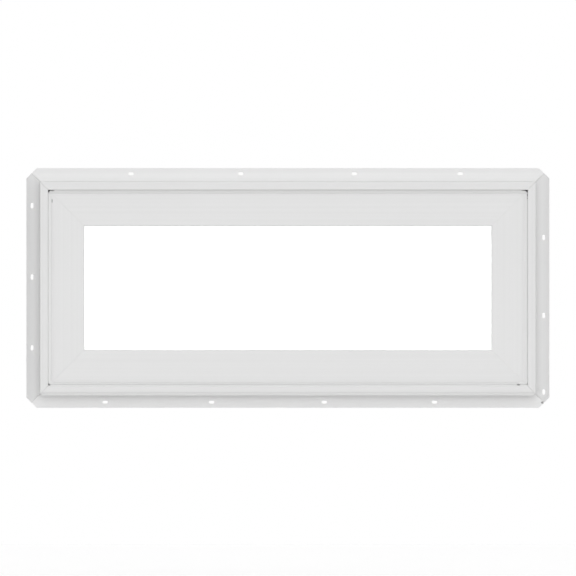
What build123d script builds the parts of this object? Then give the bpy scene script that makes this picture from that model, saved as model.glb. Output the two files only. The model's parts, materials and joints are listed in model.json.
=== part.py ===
"""White vinyl awning window for new construction, with its nail fin and with the sash closed.

X runs to the right as seen from outdoors, Y from outdoors to indoors, and Z up.
The back face of the nail fin, which lies against the wall, is the plane Y = 0.
The origin is in the middle of the sill's fin strip. Left and right are as seen from outdoors.
Sections are drawn with "margin", the distance inward from the frame's outer edge, across,
and with the depth Y upward. All lengths are in millimetres.
"""

import os

from build123d import *

os.makedirs("parts", exist_ok=True)

# Frame and nail fin
FRAME_WIDTH = 901.7
FRAME_HEIGHT = 386.0
FRAME_DEPTH = 82.5
FRAME_WALL = 2.0
WEB = 1.5
FACE_WIDTH = 14.6
STOP_WIDTH = 34.0
EDGE_ROUND = 0.8
FIN_WIDTH = 25.4
FIN_THICKNESS = 2.0
FIN_SETBACK = 32.0
FIN_CORNER = 19.0
FIN_EDGE_BAND = 5.5
FIN_ROOT_BAND = 8.0
FIN_BAND_STEP = 0.6
FIN_ROOT_GROOVE = 1.0
SILL_UPSTAND = 2.7
UPSTAND_THICKNESS = 8.0
DRIP_LIP_HEIGHT = 2.4
DRIP_LIP_THICKNESS = 3.0
DRIP_LIP_SETBACK = 1.2
DRIP_LIP_END = 3.0
SILL_GROOVE = 2.2
LEFT_NOTCH = 2.2
RIGHT_NOTCH = 16.8
NOTCH_WIDTH = 3.6
NOTCH_HEIGHT = 1.6
WEEP_LENGTH = 25.0
WEEP_WIDTH = 4.0
WEEP_SPACING = 640.0
WEEP_DEPTH = 9.0
CORNER_NICK = 1.6
SCREEN_GROOVE_WIDTH = 8.0
SCREEN_GROOVE_DEPTH = 4.0
SCREEN_GROOVE_EDGE = 5.0

# Fine lengthwise grooves of the extruded faces, and the weld grooves at the mitres
GROOVE_WIDTH = 0.9
GROOVE_DEPTH = 0.3
FACE_GROOVES = (4.0, 7.4, 10.8)
FIN_GROOVES = (2.6, 19.0, 21.8)
WELD_GROOVE = 0.8
FIN_WELD_GROOVE = 1.6
SASH_WELD_GROOVE = 0.4

# Nail slots: centres across the head and sill from the middle, down the left jamb from the
# frame's top, and up the right jamb from its bottom
SLOT_LENGTH = 10.0
SLOT_WIDTH = 5.0
SLOT_EDGE = 10.4
HEAD_SLOTS = (-285.5, -86.0, 121.0, 314.0)
SILL_SLOTS = (-332.5, -139.0, 66.5, 267.0)
LEFT_SLOTS = (43.0, 173.0, 302.0)
RIGHT_SLOTS = (3.5, 143.0, 285.0)

# Sash
SASH_MARGIN = 27.0
SASH_FACE = 53.4
SASH_DEPTH = 44.0
SASH_RECESS = 2.0
SASH_WALL = 2.0
SASH_ROUND = 1.0
SASH_CORNER = 3.5
LIP_GAP = 0.3
LIP_STEP = 1.5
LIP_THICKNESS = 2.2
LIP_CORNER = 5.0
STEP_MARGIN = 21.0
MOULDING_MARGIN = 24.5
MOULDING_WIDTH = 1.4
MOULDING_DEPTH = 0.7
BEVEL_WIDTH = 1.2
BEVEL_DEPTH = 1.2
SEAT_DEPTH = 13.0
POCKET_HEIGHT = 14.0

# Insulating glass, its bedding and its beads
PANE = 3.0
AIR_SPACE = 12.7
GLASS_CLEARANCE = 4.0
TAPE_THICKNESS = 1.5
TAPE_WIDTH = 8.0
SEALANT_WIDTH = 3.0
SPACER_WIDTH = 6.5
BLOCK_LENGTH = 100.0
BLOCK_SPACING = 370.0
BEAD_WALL = 1.5
BEAD_SLOPE = 4.0
BEAD_SETBACK = 1.0

# Bulb seal on the frame's stop
SEAL_GAP = 4.0
SEAL_CLEARANCE = 0.3
SEAL_MARGIN = 24.0
SEAL_BASE_WIDTH = 6.0
SEAL_BASE = 0.8
SEAL_WALL = 0.8

# Four-bar hinges in the space beside the sash
HINGE_TOP = 34.0
HINGE_PLATE = 2.5
TRACK_WIDTH = 18.0
TRACK_LENGTH = 210.0
TRACK_BASE = 1.5
TRACK_LIP = 1.5
TRACK_HEIGHT = 3.0
SHOE_LENGTH = 32.0
SHOE_HEIGHT = 3.5
SHOE_CLEARANCE = 0.3
ARM_WIDTH = 15.0
SASH_ARM_LENGTH = 190.0
LINK_LENGTH = 110.0
LINK_START = 70.0
PIVOT_RADIUS = 3.5
PIVOT_CLEARANCE = 0.2

# Crank operator on the sill
COVER_LENGTH = 160.0
COVER_DEPTH = 29.0
COVER_HEIGHT = 22.0
COVER_TAPER = 5.0
COVER_WALL = 2.0
COVER_CORNER = 6.0
COVER_SETBACK = 1.0
GEAR_LENGTH = 100.0
GEAR_DEPTH = 17.0
GEAR_HEIGHT = 9.0
GEAR_PLATE = 1.0
GEAR_BACK = 2.5
ARM_THICKNESS = 2.5
ARM_CLEARANCE = 0.3
ARM_PIVOT_SPACING = 50.0
ARM_PIVOT_RADIUS = 2.5
ARM_END_RADIUS = 6.5
ARM_TIP_RADIUS = 2.7
ARM_REACH = 100.0
SASH_TRACK_LENGTH = 290.0
SASH_TRACK_DEPTH = 6.0
SASH_TRACK_HEIGHT = 8.0
SASH_TRACK_WALL = 1.3
TIP_PIN_RADIUS = 1.4
TIP_PIN_HEIGHT = 4.0
HANDLE_REACH = 78.0
HANDLE_THICKNESS = 6.0
HANDLE_HUB = 8.0
HANDLE_TIP = 5.5
KNOB_RADIUS = 7.0
KNOB_WAIST = 4.5
KNOB_NECK = 3.0
KNOB_HEIGHT = 14.0

# Sash locks on the jambs
LOCK_LENGTH = 70.0
LOCK_DEPTH = 24.0
LOCK_HEIGHT = 9.0
LOCK_CORNER = 4.0
LOCK_DROP = 30.0
LOCK_EDGE = 4.0
TONGUE_WIDTH = 14.0
TONGUE_HEIGHT = 4.0
TONGUE_CLEARANCE = 0.3
LEVER_REACH = 46.0
LEVER_THICKNESS = 6.0
LEVER_HUB = 8.0
LEVER_TIP = 5.0
KEEPER_LENGTH = 34.0
KEEPER_WIDTH = 12.0
KEEPER_THICKNESS = 3.5
SMALL_CHAMFER = 1.5

# Depths, worked out from the sizes above
FACE_Y = -FIN_SETBACK
ROOM_Y = FACE_Y + FRAME_DEPTH
SASH_Y = FACE_Y + SASH_RECESS
SASH_ROOM_Y = SASH_Y + SASH_DEPTH
LIP_Y = SASH_Y + LIP_STEP
LIP_BACK_Y = LIP_Y + LIP_THICKNESS
STOP_Y = SASH_ROOM_Y + SEAL_GAP
SEAT_Y = SASH_Y + SEAT_DEPTH
OUTER_PANE_Y = SEAT_Y + TAPE_THICKNESS
INNER_PANE_Y = OUTER_PANE_Y + PANE + AIR_SPACE
BEAD_Y = INNER_PANE_Y + PANE

# Margins and heights, worked out from the sizes above
SIGHT_MARGIN = SASH_MARGIN + SASH_FACE
POCKET_MARGIN = SIGHT_MARGIN - POCKET_HEIGHT
GLASS_MARGIN = POCKET_MARGIN + GLASS_CLEARANCE
FRAME_BOTTOM = FIN_WIDTH / 2
FRAME_TOP = FRAME_BOTTOM + FRAME_HEIGHT
CENTRE_Z = FRAME_BOTTOM + FRAME_HEIGHT / 2
SILL_TOP = FRAME_BOTTOM + STOP_WIDTH

INDOORS = Vector(0, 1, 0)
CENTRE = Vector(0, 0, CENTRE_Z)

# Each side: its inward direction, and how far its outer edge and its ends lie from the centre
SIDES = {
    "head": (Vector(0, 0, -1), FRAME_HEIGHT / 2, FRAME_WIDTH / 2),
    "sill": (Vector(0, 0, 1), FRAME_HEIGHT / 2, FRAME_WIDTH / 2),
    "left": (Vector(1, 0, 0), FRAME_WIDTH / 2, FRAME_HEIGHT / 2),
    "right": (Vector(-1, 0, 0), FRAME_WIDTH / 2, FRAME_HEIGHT / 2),
}
SLOTS = {
    "head": HEAD_SLOTS,
    "sill": SILL_SLOTS,
    "left": [FRAME_HEIGHT / 2 - drop for drop in LEFT_SLOTS],
    "right": [rise - FRAME_HEIGHT / 2 for rise in RIGHT_SLOTS],
}


def section_plane(side):
    """The plane across one side, with the margin along its x and the depth along its y."""
    inward, reach, _ = SIDES[side]
    return Plane(origin=CENTRE - inward * reach, x_dir=inward, z_dir=inward.cross(INDOORS))


def front_plane(depth):
    """An upright plane that faces outdoors at a depth, centred on the window, with its y up."""
    return Plane(origin=(0, depth, CENTRE_Z), x_dir=(1, 0, 0), z_dir=(0, -1, 0))


def ends(side):
    """The frame's outer corner at each end of a side, with the direction that leads to it."""
    inward, reach, half = SIDES[side]
    along = inward.cross(INDOORS)
    return [(CENTRE - inward * reach + way * half, way) for way in (along, -along)]


def run_member(side):
    """Extrudes the section just drawn along one side and mitres both ends at 45 degrees."""
    inward, _, half = SIDES[side]
    extrude(amount=half + FIN_WIDTH, both=True)
    for corner, way in ends(side):
        split(bisect_by=Plane(origin=corner, z_dir=inward + way), keep=Keep.BOTTOM)


def cut_weld_grooves(side, depth, size):
    """Cuts half of the shallow groove that a cleaned corner weld leaves on the mitre lines."""
    inward, reach, half = SIDES[side]
    for corner, way in ends(side):
        across = Plane(origin=corner + INDOORS * depth, x_dir=INDOORS, z_dir=inward - way)
        with BuildSketch(across) as notch:
            Rectangle(size, size, rotation=45)
        extrude(notch.sketch, amount=min(reach, half), both=True, mode=Mode.SUBTRACT)


def cut_corners(margin, leg, depth, thickness):
    """Cuts the corners of a ring off at 45 degrees, from a depth indoors."""
    reach_x = FRAME_WIDTH / 2 - margin
    reach_z = FRAME_HEIGHT / 2 - margin
    with BuildSketch(front_plane(depth)) as corner_cut:
        with GridLocations(2 * reach_x, 2 * reach_z, 2, 2):
            Rectangle(leg * 2**0.5, leg * 2**0.5, rotation=45)
    extrude(corner_cut.sketch, amount=-thickness, mode=Mode.SUBTRACT)


def round_corners(section, points, radius):
    """Rounds the section's corners that lie at the given points."""
    for point in points:
        fillet(section.vertices().sort_by_distance(point)[0], radius=radius)


def save(piece, name):
    """Labels a finished piece and writes its file."""
    piece.part.label = name
    export_step(piece.part, f"parts/{name}.step")


def save_pair(left, name):
    """Writes a piece of the left side, and its mirror image as the right one."""
    with BuildPart() as right:
        mirror(left.part, about=Plane.YZ)
    save(left, f"{name}_left")
    save(right, f"{name}_right")


# Frame members: a hollow L-shaped extrusion with a nail fin, the face outdoors and the stop indoors
def draw_frame_section():
    screen_y = ROOM_Y - SCREEN_GROOVE_EDGE - SCREEN_GROOVE_WIDTH
    with BuildSketch(Plane.XY, mode=Mode.PRIVATE) as section:
        with BuildLine():
            Polyline(
                (0, FACE_Y),
                (FACE_WIDTH, FACE_Y),
                (FACE_WIDTH, STOP_Y),
                (STOP_WIDTH, STOP_Y),
                (STOP_WIDTH, screen_y),
                (STOP_WIDTH - SCREEN_GROOVE_DEPTH, screen_y),
                (STOP_WIDTH - SCREEN_GROOVE_DEPTH, screen_y + SCREEN_GROOVE_WIDTH),
                (STOP_WIDTH, screen_y + SCREEN_GROOVE_WIDTH),
                (STOP_WIDTH, ROOM_Y),
                (0, ROOM_Y),
                close=True,
            )
        make_face()
        offset(amount=-FRAME_WALL, kind=Kind.INTERSECTION, mode=Mode.SUBTRACT)
        with Locations((FACE_WIDTH - FRAME_WALL, STOP_Y)):
            Rectangle(FRAME_WALL, ROOM_Y - STOP_Y, align=Align.MIN)
        with Locations((0, -FIN_THICKNESS)):
            Rectangle(FACE_WIDTH, WEB, align=Align.MIN)
        outer_corners = [(0, FACE_Y), (FACE_WIDTH, FACE_Y), (STOP_WIDTH, ROOM_Y), (STOP_WIDTH, STOP_Y)]
        round_corners(section, outer_corners, EDGE_ROUND)
        with Locations((-FIN_WIDTH, -FIN_THICKNESS)):
            Rectangle(FIN_WIDTH + FRAME_WALL, FIN_THICKNESS, align=Align.MIN)
        with Locations([(margin, FACE_Y) for margin in FACE_GROOVES]):
            Rectangle(GROOVE_WIDTH, 2 * GROOVE_DEPTH, mode=Mode.SUBTRACT)
        with Locations([(margin - FIN_WIDTH, -FIN_THICKNESS) for margin in FIN_GROOVES]):
            Rectangle(GROOVE_WIDTH, 2 * GROOVE_DEPTH, mode=Mode.SUBTRACT)
        with Locations((FIN_EDGE_BAND - FIN_WIDTH, -FIN_THICKNESS)):
            band_width = FIN_WIDTH - FIN_EDGE_BAND - FIN_ROOT_BAND
            Rectangle(band_width, FIN_BAND_STEP, align=Align.MIN, mode=Mode.SUBTRACT)
        with Locations((-FIN_ROOT_GROOVE, -FIN_THICKNESS)):
            Rectangle(FIN_ROOT_GROOVE, FIN_ROOT_GROOVE, align=Align.MIN, mode=Mode.SUBTRACT)
    return section.sketch


def cut_nail_slots(side):
    """Cuts the nail slots, which run along the fin."""
    _, reach, _ = SIDES[side]
    line = reach + FIN_WIDTH - SLOT_EDGE
    upright = side in ("left", "right")
    away = -1 if side in ("left", "sill") else 1
    for place in SLOTS[side]:
        centre = (away * line, place) if upright else (place, away * line)
        with BuildSketch(front_plane(0)) as slot:
            with Locations(centre):
                SlotOverall(SLOT_LENGTH, SLOT_WIDTH, rotation=90 if upright else 0)
        extrude(slot.sketch, amount=2 * FIN_THICKNESS, both=True, mode=Mode.SUBTRACT)


def finish_sill():
    """Adds the sill's upstand and drip lip, and cuts its groove, drain notches and weep slots."""
    inner_half = FRAME_WIDTH / 2 - FACE_WIDTH
    with BuildSketch(section_plane("sill")) as upstand:
        with Locations((FACE_WIDTH, FACE_Y)):
            Rectangle(SILL_UPSTAND, UPSTAND_THICKNESS, align=Align.MIN)
    extrude(upstand.sketch, amount=inner_half, both=True)
    with BuildSketch(front_plane(FACE_Y)) as notches:
        notch_z = FACE_WIDTH + SILL_UPSTAND - FRAME_HEIGHT / 2
        with Locations((LEFT_NOTCH - inner_half, notch_z), (inner_half - RIGHT_NOTCH, notch_z)):
            Rectangle(NOTCH_WIDTH, 2 * NOTCH_HEIGHT)
    extrude(notches.sketch, amount=-UPSTAND_THICKNESS, mode=Mode.SUBTRACT)
    lip_half = FRAME_WIDTH / 2 - DRIP_LIP_END
    with BuildSketch(section_plane("sill")) as drip_lip:
        with Locations((-DRIP_LIP_HEIGHT, FACE_Y + DRIP_LIP_SETBACK)):
            Rectangle(DRIP_LIP_HEIGHT, DRIP_LIP_THICKNESS, align=Align.MIN)
    extrude(drip_lip.sketch, amount=lip_half, both=True)
    with BuildSketch(section_plane("sill")) as sill_groove:
        with Locations((SILL_GROOVE, FACE_Y)):
            Rectangle(GROOVE_WIDTH, 2 * GROOVE_DEPTH)
    extrude(sill_groove.sketch, amount=lip_half, both=True, mode=Mode.SUBTRACT)
    with BuildSketch(Plane.XY.offset(FRAME_BOTTOM)) as weeps:
        with Locations((0, FACE_Y + WEEP_DEPTH)):
            with GridLocations(WEEP_SPACING, 0, 2, 1):
                Rectangle(WEEP_LENGTH, WEEP_WIDTH)
    extrude(weeps.sketch, amount=FRAME_WALL, mode=Mode.SUBTRACT)
    nick_line = FIN_WIDTH - FIN_CORNER / 2
    with BuildSketch(front_plane(0)) as nick:
        with Locations((FRAME_WIDTH / 2 + nick_line, -FRAME_HEIGHT / 2 - nick_line)):
            Rectangle(CORNER_NICK, 2 * CORNER_NICK, rotation=45)
    extrude(nick.sketch, amount=FIN_THICKNESS, mode=Mode.SUBTRACT)


FRAME_SECTION = draw_frame_section()
FRAME_NAMES = {
    "head": "frame_head",
    "sill": "frame_sill",
    "left": "frame_jamb_left",
    "right": "frame_jamb_right",
}
for side, name in FRAME_NAMES.items():
    with BuildPart() as frame_member:
        with BuildSketch(section_plane(side)):
            add(FRAME_SECTION)
        run_member(side)
        cut_corners(-FIN_WIDTH, FIN_CORNER, -FIN_THICKNESS, FIN_THICKNESS)
        cut_weld_grooves(side, FACE_Y, WELD_GROOVE)
        cut_weld_grooves(side, ROOM_Y, WELD_GROOVE)
        cut_weld_grooves(side, -FIN_THICKNESS, FIN_WELD_GROOVE)
        cut_nail_slots(side)
        if side == "sill":
            finish_sill()
    save(frame_member, name)


# Sash members: a hollow extrusion with a lip outdoors, a bevelled glazing leg and a glass pocket
def draw_sash_section(lip_margin):
    with BuildSketch(Plane.XY, mode=Mode.PRIVATE) as section:
        with BuildLine():
            Polyline(
                (STEP_MARGIN, SASH_Y),
                (SIGHT_MARGIN - BEVEL_WIDTH, SASH_Y),
                (SIGHT_MARGIN, SASH_Y + BEVEL_DEPTH),
                (SIGHT_MARGIN, SEAT_Y),
                (POCKET_MARGIN, SEAT_Y),
                (POCKET_MARGIN, SASH_ROOM_Y),
                (SASH_MARGIN, SASH_ROOM_Y),
                (SASH_MARGIN, LIP_BACK_Y),
                (STEP_MARGIN, LIP_BACK_Y),
                close=True,
            )
        make_face()
        offset(amount=-SASH_WALL, kind=Kind.INTERSECTION, mode=Mode.SUBTRACT)
        with Locations((SASH_MARGIN, SEAT_Y)):
            Rectangle(POCKET_MARGIN - SASH_MARGIN, WEB, align=Align.MIN)
        with Locations((POCKET_MARGIN - SASH_WALL, SASH_Y)):
            Rectangle(SASH_WALL, SEAT_DEPTH, align=Align.MIN)
        round_corners(section, [(STEP_MARGIN, SASH_Y), (SASH_MARGIN, SASH_ROOM_Y)], SASH_ROUND)
        with Locations((MOULDING_MARGIN, SASH_Y)):
            Rectangle(MOULDING_WIDTH, 2 * MOULDING_DEPTH, mode=Mode.SUBTRACT)
        with Locations((lip_margin, LIP_Y)):
            Rectangle(STEP_MARGIN + SASH_WALL - lip_margin, LIP_THICKNESS, align=Align.MIN)
    return section.sketch


SASH_NAMES = {
    "head": "sash_top_rail",
    "sill": "sash_bottom_rail",
    "left": "sash_stile_left",
    "right": "sash_stile_right",
}
LIP_MARGIN = FACE_WIDTH + LIP_GAP
for side, name in SASH_NAMES.items():
    with BuildPart() as sash_member:
        with BuildSketch(section_plane(side)):
            add(draw_sash_section(LIP_MARGIN + SILL_UPSTAND if side == "sill" else LIP_MARGIN))
        run_member(side)
        cut_corners(LIP_MARGIN, LIP_CORNER, LIP_Y, LIP_THICKNESS)
        cut_corners(STEP_MARGIN, SASH_CORNER, SASH_Y, LIP_STEP)
        cut_weld_grooves(side, SASH_Y, SASH_WELD_GROOVE)
        cut_weld_grooves(side, SASH_ROOM_Y, SASH_WELD_GROOVE)
    save(sash_member, name)


# Insulating glass unit: two panes, and between their edges the spacer and the sealant
PANE_WIDTH = FRAME_WIDTH - 2 * GLASS_MARGIN
PANE_HEIGHT = FRAME_HEIGHT - 2 * GLASS_MARGIN
for name, depth in (("glass_outer", OUTER_PANE_Y), ("glass_inner", INNER_PANE_Y)):
    with BuildPart() as pane:
        with BuildSketch(front_plane(depth)):
            Rectangle(PANE_WIDTH, PANE_HEIGHT)
        extrude(amount=-PANE)
    save(pane, name)


AIR_Y = OUTER_PANE_Y + PANE
RINGS = {
    "edge_sealant": (GLASS_MARGIN, SEALANT_WIDTH, AIR_Y, AIR_SPACE),
    "glass_spacer": (GLASS_MARGIN + SEALANT_WIDTH, SPACER_WIDTH, AIR_Y, AIR_SPACE),
    "glazing_tape": (GLASS_MARGIN, TAPE_WIDTH, SEAT_Y, TAPE_THICKNESS),
}
for name, (margin, width, depth, thickness) in RINGS.items():
    inner_margin = margin + width
    with BuildPart() as ring:
        with BuildSketch(front_plane(depth)):
            Rectangle(FRAME_WIDTH - 2 * margin, FRAME_HEIGHT - 2 * margin)
            Rectangle(FRAME_WIDTH - 2 * inner_margin, FRAME_HEIGHT - 2 * inner_margin, mode=Mode.SUBTRACT)
        extrude(amount=-thickness)
    save(ring, name)

# Setting blocks that carry the glass on the bottom rail
with BuildPart() as setting_blocks:
    with BuildSketch(Plane.XY.offset(FRAME_BOTTOM + POCKET_MARGIN)):
        with Locations((0, OUTER_PANE_Y)):
            with GridLocations(BLOCK_SPACING, 0, 2, 1):
                Rectangle(BLOCK_LENGTH, BEAD_Y - OUTER_PANE_Y, align=(Align.CENTER, Align.MIN))
    extrude(amount=GLASS_CLEARANCE)
save(setting_blocks, "setting_blocks")


# Glazing beads indoors: hollow, with a sloping room face
for side in SIDES:
    with BuildPart() as glazing_bead:
        with BuildSketch(section_plane(side)):
            with BuildLine():
                Polyline(
                    (POCKET_MARGIN, BEAD_Y),
                    (SIGHT_MARGIN - BEAD_SETBACK, BEAD_Y),
                    (SIGHT_MARGIN - BEAD_SETBACK - BEAD_SLOPE, SASH_ROOM_Y),
                    (POCKET_MARGIN, SASH_ROOM_Y),
                    close=True,
                )
            make_face()
            offset(amount=-BEAD_WALL, kind=Kind.INTERSECTION, mode=Mode.SUBTRACT)
        run_member(side)
    save(glazing_bead, f"glazing_bead_{side}")


# Bulb seals on the stop, just short of the closed sash
BULB_RADIUS = (SEAL_GAP - SEAL_CLEARANCE) / 2
for side in SIDES:
    with BuildPart() as bulb_seal:
        with BuildSketch(section_plane(side)):
            with Locations((SEAL_MARGIN, STOP_Y - BULB_RADIUS)):
                Circle(BULB_RADIUS)
            with Locations((SEAL_MARGIN, STOP_Y - SEAL_BASE)):
                Rectangle(SEAL_BASE_WIDTH, SEAL_BASE, align=(Align.CENTER, Align.MIN))
            with Locations((SEAL_MARGIN, STOP_Y - BULB_RADIUS)):
                Circle(BULB_RADIUS - SEAL_WALL, mode=Mode.SUBTRACT)
        run_member(side)
    save(bulb_seal, f"bulb_seal_{side}")


# Four-bar hinges, upright in the space between jamb and stile
def hinge_plane(margin):
    """A plane along the left jamb, at a margin, from the hinge's top end down, with x indoors."""
    return Plane(
        origin=(margin - FRAME_WIDTH / 2, 0, FRAME_TOP - HINGE_TOP), x_dir=(0, 1, 0), z_dir=(1, 0, 0)
    )


def draw_arm(start, length):
    """A bar with round ends that hangs down from its upper pivot."""
    with Locations((0, -start - length / 2)):
        SlotCenterToCenter(length, ARM_WIDTH, rotation=90)


SHOE_MARGIN = FACE_WIDTH + TRACK_BASE
LINK_MARGIN = SHOE_MARGIN + SHOE_HEIGHT
SASH_ARM_MARGIN = SASH_MARGIN - HINGE_PLATE
SHOE_PIVOT = SHOE_LENGTH / 2

with BuildPart() as hinge_track:
    with BuildSketch(hinge_plane(FACE_WIDTH)):
        Rectangle(TRACK_WIDTH, TRACK_LENGTH, align=(Align.CENTER, Align.MAX))
    extrude(amount=TRACK_HEIGHT)
    with BuildSketch(hinge_plane(SHOE_MARGIN)):
        Rectangle(TRACK_WIDTH - 2 * TRACK_LIP, TRACK_LENGTH, align=(Align.CENTER, Align.MAX))
    extrude(amount=TRACK_HEIGHT, mode=Mode.SUBTRACT)
save_pair(hinge_track, "hinge_track")

with BuildPart() as hinge_shoe:
    with BuildSketch(hinge_plane(SHOE_MARGIN)):
        shoe_width = TRACK_WIDTH - 2 * TRACK_LIP - 2 * SHOE_CLEARANCE
        Rectangle(shoe_width, SHOE_LENGTH, align=(Align.CENTER, Align.MAX))
    extrude(amount=SHOE_HEIGHT)
save_pair(hinge_shoe, "hinge_shoe")

with BuildPart() as hinge_sash_arm:
    with BuildSketch(hinge_plane(SASH_ARM_MARGIN)):
        draw_arm(SHOE_PIVOT, SASH_ARM_LENGTH)
        with Locations((0, -LINK_START)):
            Circle(PIVOT_RADIUS + PIVOT_CLEARANCE, mode=Mode.SUBTRACT)
    extrude(amount=HINGE_PLATE)
    with BuildSketch(hinge_plane(LINK_MARGIN)):
        with Locations((0, -SHOE_PIVOT)):
            Circle(PIVOT_RADIUS)
    extrude(amount=SASH_ARM_MARGIN - LINK_MARGIN)
save_pair(hinge_sash_arm, "hinge_sash_arm")

with BuildPart() as hinge_link:
    with BuildSketch(hinge_plane(LINK_MARGIN)):
        draw_arm(LINK_START, LINK_LENGTH)
    extrude(amount=HINGE_PLATE)
    with BuildSketch(hinge_plane(LINK_MARGIN)):
        with Locations((0, -LINK_START)):
            Circle(PIVOT_RADIUS)
    extrude(amount=SASH_MARGIN - LINK_MARGIN)
    with BuildSketch(hinge_plane(SHOE_MARGIN)):
        with Locations((0, -LINK_START - LINK_LENGTH)):
            Circle(PIVOT_RADIUS)
    extrude(amount=SHOE_HEIGHT)
save_pair(hinge_link, "hinge_link")


# Crank operator: a gear case under a cover on the sill, with two arms that ride in a sash track
COVER_Y = ROOM_Y - COVER_SETBACK - COVER_DEPTH / 2
ARM_Z = SILL_TOP + GEAR_PLATE + ARM_CLEARANCE
GEAR_Z = ARM_Z + ARM_THICKNESS + ARM_CLEARANCE
GEAR_BACK_Y = COVER_Y + GEAR_DEPTH / 2
ARM_PIVOT_Y = GEAR_BACK_Y - GEAR_BACK - ARM_CLEARANCE - ARM_END_RADIUS
TRACK_Y = SASH_ROOM_Y + SASH_TRACK_DEPTH / 2
SASH_TRACK_Z = ARM_Z + ARM_THICKNESS + ARM_CLEARANCE
TIP_X = ARM_PIVOT_SPACING / 2 + ARM_REACH

with BuildPart() as operator_gear_case:
    with BuildSketch(Plane.XY.offset(SILL_TOP)):
        with Locations((0, COVER_Y)):
            Rectangle(GEAR_LENGTH, GEAR_DEPTH)
    extrude(amount=GEAR_PLATE)
    with BuildSketch(Plane.XY.offset(GEAR_Z)):
        with Locations((0, COVER_Y)):
            Rectangle(GEAR_LENGTH, GEAR_DEPTH)
    extrude(amount=GEAR_HEIGHT)
    with BuildSketch(Plane.XY.offset(SILL_TOP)):
        with Locations((0, GEAR_BACK_Y)):
            Rectangle(GEAR_LENGTH, GEAR_BACK, align=(Align.CENTER, Align.MAX))
        with Locations((0, ARM_PIVOT_Y)):
            with GridLocations(ARM_PIVOT_SPACING, 0, 2, 1):
                Circle(ARM_PIVOT_RADIUS)
    extrude(amount=GEAR_Z - SILL_TOP)
save(operator_gear_case, "operator_gear_case")

with BuildPart() as operator_cover:
    with BuildSketch(Plane.XY.offset(SILL_TOP)):
        with Locations((0, COVER_Y)):
            RectangleRounded(COVER_LENGTH, COVER_DEPTH, COVER_CORNER)
    extrude(amount=COVER_HEIGHT, taper=COVER_TAPER)
    chamfer(operator_cover.edges().group_by(Axis.Z)[-1], length=SMALL_CHAMFER)
    with BuildSketch(Plane.XY.offset(SILL_TOP)):
        with Locations((0, COVER_Y)):
            Rectangle(COVER_LENGTH - 2 * COVER_WALL, COVER_DEPTH - 2 * COVER_WALL)
    extrude(amount=COVER_HEIGHT - COVER_WALL, taper=COVER_TAPER, mode=Mode.SUBTRACT)
    with BuildSketch(Plane.XY.offset(SILL_TOP)):
        with Locations((0, COVER_Y)):
            Rectangle(COVER_LENGTH, COVER_DEPTH, align=(Align.CENTER, Align.MAX))
    extrude(amount=SASH_TRACK_Z - SILL_TOP, mode=Mode.SUBTRACT)
save(operator_cover, "operator_cover")

with BuildPart() as operator_arm:
    with BuildSketch(Plane.XY.offset(ARM_Z)):
        with Locations((-ARM_PIVOT_SPACING / 2, ARM_PIVOT_Y)):
            Circle(ARM_END_RADIUS)
        with Locations((-TIP_X, TRACK_Y)):
            Circle(ARM_TIP_RADIUS)
        make_hull()
        with Locations((-ARM_PIVOT_SPACING / 2, ARM_PIVOT_Y)):
            Circle(ARM_PIVOT_RADIUS + PIVOT_CLEARANCE, mode=Mode.SUBTRACT)
    extrude(amount=ARM_THICKNESS)
    with BuildSketch(Plane.XY.offset(ARM_Z + ARM_THICKNESS)):
        with Locations((-TIP_X, TRACK_Y)):
            Circle(TIP_PIN_RADIUS)
    extrude(amount=TIP_PIN_HEIGHT)
save_pair(operator_arm, "operator_arm")

with BuildPart() as sash_track:
    with BuildSketch(Plane.YZ):
        with Locations((TRACK_Y, SASH_TRACK_Z)):
            Rectangle(SASH_TRACK_DEPTH, SASH_TRACK_HEIGHT, align=(Align.CENTER, Align.MIN))
            inner_width = SASH_TRACK_DEPTH - 2 * SASH_TRACK_WALL
            inner_height = SASH_TRACK_HEIGHT - SASH_TRACK_WALL
            Rectangle(inner_width, inner_height, align=(Align.CENTER, Align.MIN), mode=Mode.SUBTRACT)
    extrude(amount=SASH_TRACK_LENGTH / 2, both=True)
save(sash_track, "sash_track")

# Folded crank handle and its knob, on top of the cover
HANDLE_Z = SILL_TOP + COVER_HEIGHT
with BuildPart() as crank_handle:
    with BuildSketch(Plane.XY.offset(HANDLE_Z)):
        with Locations((HANDLE_REACH / 2, COVER_Y)):
            Circle(HANDLE_HUB)
        with Locations((-HANDLE_REACH / 2, COVER_Y)):
            Circle(HANDLE_TIP)
        make_hull()
    extrude(amount=HANDLE_THICKNESS)
    chamfer(crank_handle.edges().group_by(Axis.Z)[-1], length=SMALL_CHAMFER)
save(crank_handle, "crank_handle")

KNOB_FOOT = (-HANDLE_REACH / 2, COVER_Y, HANDLE_Z + HANDLE_THICKNESS)
with BuildPart() as crank_knob:
    with BuildSketch(Plane(origin=KNOB_FOOT, x_dir=(1, 0, 0), z_dir=(0, -1, 0))):
        with BuildLine():
            Polyline(
                (0, 0),
                (KNOB_WAIST, 0),
                (KNOB_WAIST, KNOB_NECK),
                (KNOB_RADIUS, KNOB_NECK),
                (KNOB_RADIUS, KNOB_HEIGHT),
                (0, KNOB_HEIGHT),
                close=True,
            )
        make_face()
    revolve(axis=Axis(KNOB_FOOT, (0, 0, 1)))
save(crank_knob, "crank_knob")


# Sash locks: a case with a folded lever on each jamb's stop, and a keeper on the stile
LOCK_Y = STOP_Y + LOCK_EDGE + LOCK_DEPTH / 2
LOCK_Z = CENTRE_Z - LOCK_DROP


def lock_plane(margin):
    """A plane along the left jamb's stop, at a margin, centred on the lock, with x indoors."""
    return Plane(origin=(margin - FRAME_WIDTH / 2, LOCK_Y, LOCK_Z), x_dir=(0, 1, 0), z_dir=(1, 0, 0))


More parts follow.
